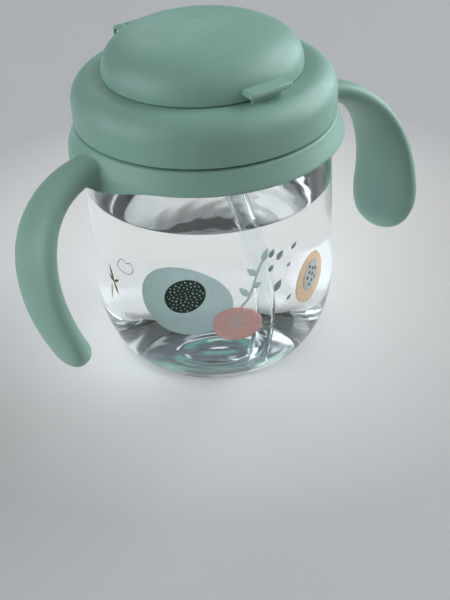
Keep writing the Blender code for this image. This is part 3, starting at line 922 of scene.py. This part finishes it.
def stroke(points, width, closed=False):
    """A line of even width along a smooth curve through (degrees, mm) spots."""
    path = catmull([(a * PER_DEGREE, z) for a, z in points], 8, closed)
    sides = ([], [])
    count = len(path)
    for i, spot in enumerate(path):
        if closed:
            t = path[(i + 1) % count] - path[i - 1]
        else:
            t = path[min(i + 1, count - 1)] - path[max(i - 1, 0)]
        n = t.orthogonal().normalized() * width / 2
        sides[0].append(spot + n)
        sides[1].append(spot - n)
    if closed:
        quads = []
        for i in range(count):
            k = (i + 1) % count
            quads.append([sides[0][i], sides[0][k], sides[1][k], sides[1][i]])
        return [[(p.x / PER_DEGREE, p.y) for p in quad] for quad in quads]
    return [[(p.x / PER_DEGREE, p.y) for p in sides[0] + sides[1][::-1]]]


def sunflower(count, share):
    """Spots spread evenly over that share of a disc of radius 1."""
    made = []
    for i in range(count):
        radius = math.sqrt((i + 0.5) / count) * share
        made.append((radius * math.cos(i * GOLDEN_TURN), radius * math.sin(i * GOLDEN_TURN)))
    return made


def dotted_pebble():
    middle = (223.2, 40.2)
    size = (7.0, 5.2)
    tilt = 38
    patch("large_pebble", [oval((223.0, 38.2), (14.2, 11.8), -6, 72, 0.02)], "pale_teal")
    patch("dotted_oval", [oval(middle, size, tilt)], "dark_green", 1)
    dots = []
    for across, up in sunflower(64, 0.9):
        u, v = leaned(size[0] * across, size[1] * up, tilt)
        dot = random.uniform(0.17, 0.32)
        dots.append(oval((middle[0] + u / PER_DEGREE, middle[1] + v), (dot, dot), count=10))
    patch("oval_dots", dots, "white", 2)


def wavy_pebble():
    patch("small_pebble", [oval((245.6, 29.8), (7.6, 6.0), -8, 56, 0.02)], "pink", 1)
    waves = []
    for row in range(5):
        z = 28.6 + row * 1.05
        half = 3.6 - abs(row - 2) * 0.5
        points = [(244.9 + half * (2 * i / 8 - 1), z + 0.24 * (-1) ** i) for i in range(9)]
        waves += stroke(points, 0.42)
    patch("waves", waves, "white", 2)


def seed_pebble():
    middle = (285.6, 37.4)
    patch("seed_pebble", [oval((285.0, 36.8), (6.4, 8.4), -24, 56, 0.02)], "apricot")
    patch("seed_oval", [oval(middle, (3.6, 5.2), -24)], "white", 1)
    seeds = []
    for across, up in sunflower(9, 0.8):
        spot = (middle[0] + 3.2 * across / PER_DEGREE, middle[1] + 4.6 * up)
        seeds.append(oval(spot, (0.36, 0.5), -28, 12))
    patch("seeds", seeds, "dark_green", 2)


STEM = [(247.6, 35.8), (251.0, 38.2), (253.6, 42.4), (256.0, 47.2), (258.4, 50.0)]
# Each leaf: where it starts and ends, in (degrees, mm), and its width in mm.
STEM_LEAVES = (
    ((251.4, 39.0), (247.0, 42.6), 2.2), ((253.2, 42.0), (257.6, 42.6), 2.2),
    ((255.0, 45.6), (250.9, 48.6), 2.2), ((258.2, 49.6), (261.0, 54.0), 2.3),
)
LOOSE_LEAVES = (
    ((261.6, 50.2), (264.0, 52.9), 1.7), ((265.2, 48.7), (268.6, 51.4), 1.9),
    ((261.0, 45.6), (263.4, 47.6), 1.6), ((263.4, 38.2), (267.2, 41.6), 2.4),
    ((273.2, 50.4), (276.4, 52.0), 1.4), ((270.6, 45.0), (272.6, 46.2), 1.1),
    ((269.8, 33.4), (272.6, 35.0), 1.2),
)
SPRIG_ROOT = (184.4, 37.6)
SPRIG_TIPS = (((181.6, 43.2), 1.1), ((188.4, 39.4), 1.0), ((187.2, 33.4), 1.0), ((180.2, 39.4), 1.0))
CLOUD = [
    (188.6, 44.2), (189.6, 46.6), (192.2, 47.9), (194.4, 47.0), (196.8, 47.5), (198.4, 45.6),
    (196.6, 43.8), (193.0, 43.3),
]


def print_set():
    """The print on the cup's front: patterned pebbles, leaves, a cloud, a sprig and specks."""
    random.seed(7)
    dotted_pebble()
    wavy_pebble()
    seed_pebble()
    patch("stem", stroke(STEM, 0.9), "pale_teal")
    patch("stem_leaves", [leaf(*each) for each in STEM_LEAVES], "pale_teal")
    patch("leaves", [leaf(*each) for each in LOOSE_LEAVES], "teal")
    patch("cloud", stroke(CLOUD, 0.28, closed=True), "grey")
    patch("sprig", [leaf(SPRIG_ROOT, tip, width) for tip, width in SPRIG_TIPS], "olive")
    patch("sprig_stem", [leaf((182.6, 36.6), (181.2, 30.2), 1.0)], "apricot")
    for mark, (a, z) in (("left", (191.5, 26.8)), ("right", (258.6, 26.8))):
        specks = []
        for i in range(22):
            size = random.uniform(0.13, 0.22)
            spot = (a + random.uniform(-4.0, 4.0), z + random.uniform(-1.6, 1.6))
            specks.append(oval(spot, (size, size * 1.5), 20, 8))
        patch(f"specks_{mark}", specks, "white")


# ---------------------------------------------------------------- stage
WATER_IOR = 1.333
WET = 0.05                   # the drink's sides lie this far inside the cup's wall
WATER_RIM = 0.5              # the drink's sides end this far over its level, hidden in the wall
MENISCUS = (0.25, 0.7)       # its height and its width
RIPPLE = (0.10, 1.15, 26.0)  # round the straw: height, radians a mm, and how far it carries
RIPPLE_MIDDLE = (-7.6, -29.3)
CALM_EDGE = 4.0              # width of the calm band along the wall


def refraction(name):
    """Bends light as the drink does, with no shine of its own."""
    made = bpy.data.materials.new(name)
    made.use_nodes = True
    tree = made.node_tree
    tree.nodes.clear()
    bend = tree.nodes.new("ShaderNodeBsdfRefraction")
    bend.inputs["IOR"].default_value = WATER_IOR
    bend.inputs["Roughness"].default_value = 0.0
    out = tree.nodes.new("ShaderNodeOutputMaterial")
    tree.links.new(bend.outputs["BSDF"], out.inputs["Surface"])
    return made


def water():
    """Drink in the cup, a prop, as two skins: its sides and its rippled top."""
    top_edge = WATER_LEVEL + WATER_RIM
    edge = wall_radius(top_edge) - WALL + WET
    radii = (BULGE_RADIUS - FOOT_RADIUS - WALL + WET, BULGE_HEIGHT - FLOOR + WET)
    profile = floor_line(-WET) + arc((FOOT_RADIUS, BULGE_HEIGHT), radii, -90, 0, 40)
    sides = lathe("water_sides", profile + [(edge, top_edge)], closed=False)
    sides.data.materials.append(refraction("water_sides"))
    surface = []
    for i in range(70):
        r = (edge - 0.02) * (1.0 - i / 69)
        surface.append((r, WATER_LEVEL + MENISCUS[0] * math.exp(-(edge - r) / MENISCUS[1])))

    def ripple(angle, r, z):
        height, pace, carry = RIPPLE
        away = math.hypot(r * math.cos(angle) - RIPPLE_MIDDLE[0], r * math.sin(angle) - RIPPLE_MIDDLE[1])
        calm = min(1.0, (edge - r) / CALM_EDGE)
        return r, z + calm * height * math.sin(away * pace) * math.exp(-away / carry)

    top = lathe("water_top", surface, closed=False, swell=ripple)
    shine = Look("water_top")
    shine.set(Transmission_Weight=1.0, IOR=WATER_IOR, Roughness=0.0)
    top.data.materials.append(shine.material)
    if sum(p.normal.z for p in top.data.polygons) < 0:
        top.data.flip_normals()
    for part in (sides, top):
        part.visible_shadow = False


SHADE_RADIUS = 31.0
SHADE_LEVELS = (2.8, 3.0)    # inside the thickness of the cup's base
SHADE_MIDDLE = (3.0, 2.6)


def shade_under_cup():
    """A disc that only casts shade: the real drink lets no side light through the cup's base."""
    low, high = SHADE_LEVELS
    shade = disc("shade_under_cup", SHADE_RADIUS, low, high, SHADE_MIDDLE, 64)
    shade.data.materials.append(bpy.data.materials.new("shade"))
    shade.visible_camera = False
    shade.visible_glossy = False
    shade.visible_transmission = False


# Painted light and shade: the floor's colour is painted lighter round the cup, like a pool of light, and
# darker further off.
PAINTED_LIGHT_NEAR = (0.86, 0.82, 0.795)      # the floor's colour round the cup, lit by a painted pool of light
PAINTED_SHADE_FAR = (0.50, 0.49, 0.485)
PAINTED_POOL_MIDDLE = (0.03, 0.04, 0.0)      # metres, as the two distances from it are
PAINTED_POOL_GRADE = (0.04, 0.14)


def floor():
    """A pale matt floor with a painted pool of light round the cup, and painted shade that makes it
    darker away from the cup.
    """
    bpy.ops.mesh.primitive_plane_add(size=4.0)
    plane = bpy.context.object
    plane.name = "floor"
    look = Look("floor")
    away = look.node("ShaderNodeVectorMath", operation="DISTANCE")
    look.tree.links.new(look.place, away.inputs[0])
    away.inputs[1].default_value = PAINTED_POOL_MIDDLE
    # Painted light and shade in the base colour: lighter near the cup, darker with distance from it.
    look.feed(look.ramp(away.outputs["Value"], PAINTED_LIGHT_NEAR, PAINTED_SHADE_FAR, *PAINTED_POOL_GRADE), "Base Color")
    look.feed(look.ramp(look.noise(30.0, 3.0), 0.55, 0.62), "Roughness")
    look.set(Specular_IOR_Level=0.2)
    look.bump((look.noise(900.0, 3.0), 0.01))
    plane.data.materials.append(look.material)


def area_light(name, place, target, size, power, color):
    data = bpy.data.lights.new(name, "AREA")
    data.shape = "RECTANGLE"
    data.size = size
    data.size_y = size
    data.energy = power
    data.color = color
    lamp = bpy.data.objects.new(name, data)
    bpy.context.scene.collection.objects.link(lamp)
    lamp.location = place
    lamp.visible_camera = False
    lamp.rotation_mode = "QUATERNION"
    lamp.rotation_quaternion = (Vector(target) - Vector(place)).to_track_quat("-Z", "Y")
    return lamp


# Each window: azimuth and half width, lowest and highest elevation, all in degrees, and its light.
WINDOWS = (
    (165, 32, -5, 50, (2.6, 3.0, 3.3)),
    (354, 29, -5, 50, (3.9, 4.5, 4.8)),
    (60, 30, 41, 52, (0.03, 0.24, 0.17)),
    (73, 6, 20, 37, (2.0, 2.2, 2.3)),
    (61, 7, 18, 28, (1.2, 1.3, 1.4)),
    (43, 4, 24, 33, (0.5, 0.6, 0.65)),
    (286, 14, 24, 42, (0.9, 1.1, 1.2)),
)
WINDOW_EDGE = 4.0            # softness of a window's edge, degrees
DIM_WALLS = (0.075, 0.10, 0.12, 1.0)
BACKDROP = (0.60, 0.63, 0.65, 1.0)       # behind the floor's edge, in views from low down
AMBIENT = (0.21, 0.165, 0.145, 1.0)      # light from all round on matt surfaces


class World:
    """Dim walls with soft windows, seen in reflections and through the clear parts."""

    def __init__(self):
        world = bpy.data.worlds.new("studio")
        bpy.context.scene.world = world
        world.use_nodes = True
        self.tree = world.node_tree
        place = self.node("ShaderNodeTexCoord").outputs["Generated"]
        split = self.node("ShaderNodeSeparateXYZ")
        self.tree.links.new(place, split.inputs[0])
        self.azimuth = self.math("ARCTAN2", split.outputs["Y"], split.outputs["X"])
        self.elevation = self.math("ARCSINE", split.outputs["Z"])

    def node(self, kind):
        return self.tree.nodes.new(kind)

    def math(self, operation, *values):
        made = self.node("ShaderNodeMath")
        made.operation = operation
        for socket, value in zip(made.inputs, values):
            if isinstance(value, (int, float)):
                socket.default_value = value
            else:
                self.tree.links.new(value, socket)
        return made.outputs[0]

    def step(self, value, low, high):
        made = self.node("ShaderNodeMapRange")
        made.interpolation_type = "SMOOTHSTEP"
        self.tree.links.new(value, made.inputs["Value"])
        made.inputs["From Min"].default_value = low
        made.inputs["From Max"].default_value = high
        return made.outputs["Result"]

    def window(self, azimuth, half, low, high, color):
        edge = math.radians(WINDOW_EDGE) / 2
        turn = self.math("COSINE", self.math("SUBTRACT", self.azimuth, math.radians(azimuth)))
        away = self.math("ARCCOSINE", turn)
        half = math.radians(half)
        share = self.step(away, half + edge, half - edge)
        low, high = math.radians(low), math.radians(high)
        share = self.math("MULTIPLY", share, self.step(self.elevation, low - edge, low + edge))
        share = self.math("MULTIPLY", share, self.step(self.elevation, high + edge, high - edge))
        made = self.glow((*color, 1.0))
        self.tree.links.new(share, made.inputs["Strength"])
        return made.outputs[0]

    def glow(self, color):
        made = self.node("ShaderNodeBackground")
        made.inputs["Color"].default_value = color
        return made

    def join(self, kind, *sources):
        made = self.node(kind)
        for socket, source in zip(made.inputs, sources):
            self.tree.links.new(source, socket)
        return made.outputs[0]


def studio_world():
    world = World()
    around = world.glow(DIM_WALLS).outputs[0]
    for window in WINDOWS:
        around = world.join("ShaderNodeAddShader", around, world.window(*window))
    path = world.node("ShaderNodeLightPath").outputs
    fill = world.glow(AMBIENT).outputs[0]
    around = world.join("ShaderNodeMixShader", path["Is Diffuse Ray"], around, fill)
    backdrop = world.tree.nodes["Background"]
    backdrop.inputs["Color"].default_value = BACKDROP
    both = world.join("ShaderNodeMixShader", path["Is Camera Ray"], around, backdrop.outputs[0])
    world.tree.links.new(both, world.tree.nodes["World Output"].inputs["Surface"])


CUP_MIDDLE = Vector((0.0, 0.0, 0.04))    # metres, as all that follows


def around_cup(azimuth, elevation, distance):
    """A place that far from the cup's middle, in that direction in degrees."""
    a = math.radians(azimuth)
    e = math.radians(elevation)
    flat = distance * math.cos(e)
    return Vector((flat * math.cos(a), flat * math.sin(a), distance * math.sin(e))) + CUP_MIDDLE


LAMP_SIZE = 0.7
# Each lamp: its name, azimuth and elevation in degrees, power in watts, and colour.
LAMPS = (
    ("lamp_right", 330, 35, 2.6, (1.0, 1.0, 1.0)),
    ("lamp_left", 165, 20, 1.0, (0.96, 0.98, 1.0)),
)


def light():
    studio_world()
    for name, azimuth, elevation, power, color in LAMPS:
        place = around_cup(azimuth, elevation, 1.0)
        lamp = area_light(name, place, CUP_MIDDLE, LAMP_SIZE, power, color)
        lamp.visible_transmission = False
    scene = bpy.context.scene
    scene.view_settings.view_transform = "Standard"
    scene.cycles.max_bounces = 32            # enough to pass through the cup, drink and straw
    scene.cycles.transmission_bounces = 28


CAMERA_PLACE = (-0.1509, -0.2315, 0.2079)
CAMERA_AZIMUTH = 56.288      # where it looks, in degrees from +X
CAMERA_ELEVATION = -35.399
CAMERA_ROLL = -2.972


def camera():
    """A view from the left front, looking down."""
    data = bpy.data.cameras.new("camera")
    data.lens = 60.0
    data.sensor_width = 36.0
    spot = bpy.data.objects.new("camera", data)
    bpy.context.scene.collection.objects.link(spot)
    heading = Matrix.Rotation(math.radians(CAMERA_AZIMUTH - 90), 4, "Z")
    tilt = Matrix.Rotation(math.radians(CAMERA_ELEVATION + 90), 4, "X")
    roll = Matrix.Rotation(math.radians(CAMERA_ROLL), 4, "Z")
    spot.matrix_world = Matrix.Translation(CAMERA_PLACE) @ heading @ tilt @ roll
    bpy.context.scene.camera = spot


camera()
cup()
handle_ring()
lid()
cover()
gasket()
hinge_pin()
vent_valve()
retainer()
mouthpiece()
straw()
print_set()
water()
shade_under_cup()
floor()
light()
